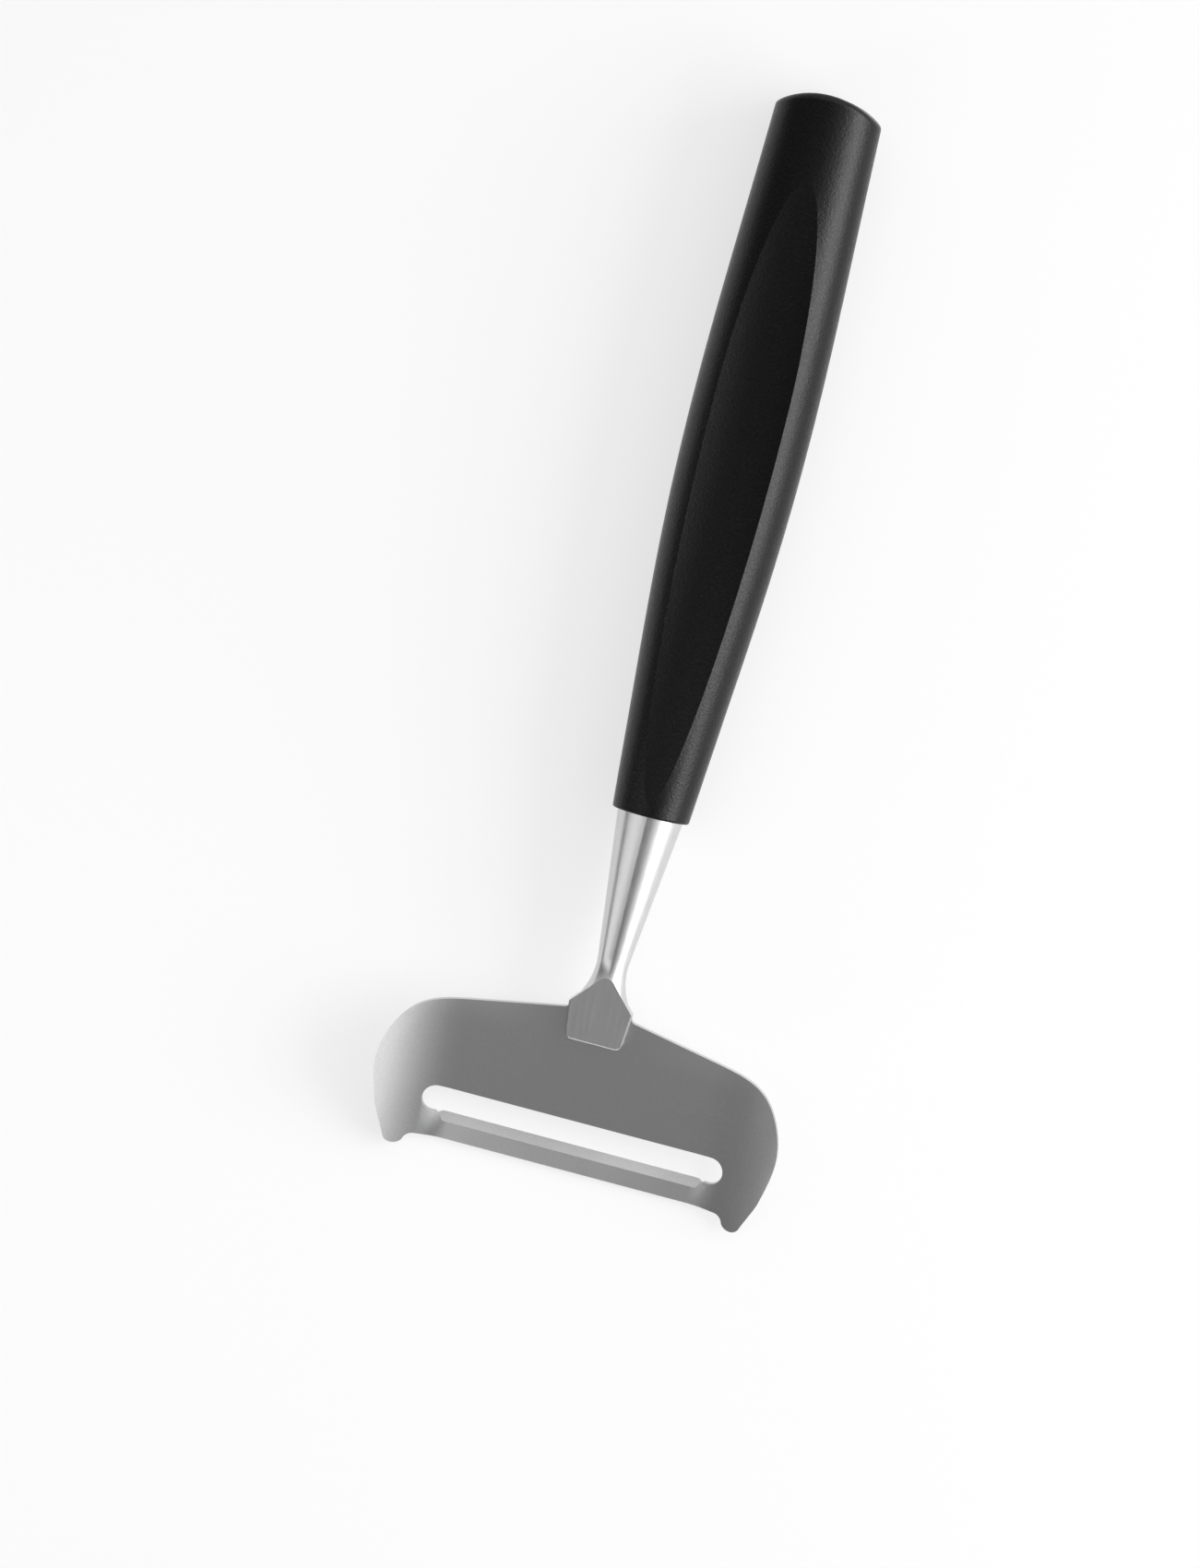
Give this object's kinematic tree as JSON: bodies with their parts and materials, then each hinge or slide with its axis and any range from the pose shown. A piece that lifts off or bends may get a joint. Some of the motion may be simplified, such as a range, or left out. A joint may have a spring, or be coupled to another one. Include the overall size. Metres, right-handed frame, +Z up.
{
  "type": "cheese slicer",
  "caption": "Cheese slicer: wide stainless blade with upturned arms and a slot, round neck with a flat tab, oval black handle with thumb hollows.",
  "frame": {"origin": "on the table, under the middle of the slicer's length and width, as it lies on a table with its top up", "axes": "+Y from the blade's tips to the butt of the handle, +Z up, X across; mirror-symmetric about the YZ plane"},
  "size_m": [0.0812, 0.2199, 0.0184],
  "materials": {
    "blade_steel": "satin, finely blasted, with a ground cutting edge",
    "neck_steel": "satin, polished along its length",
    "weld_steel": "fused steel, hidden between tab and blade",
    "tang_steel": "plain turned rod, hidden in the handle",
    "handle_plastic": "fine-grained matte black moulding"
  },
  "bodies": {
    "root": {"blade": "blade_steel", "neck": "neck_steel", "weld_nuggets": "weld_steel", "tang": "tang_steel", "handle": "handle_plastic"}
  },
  "joints": []
}
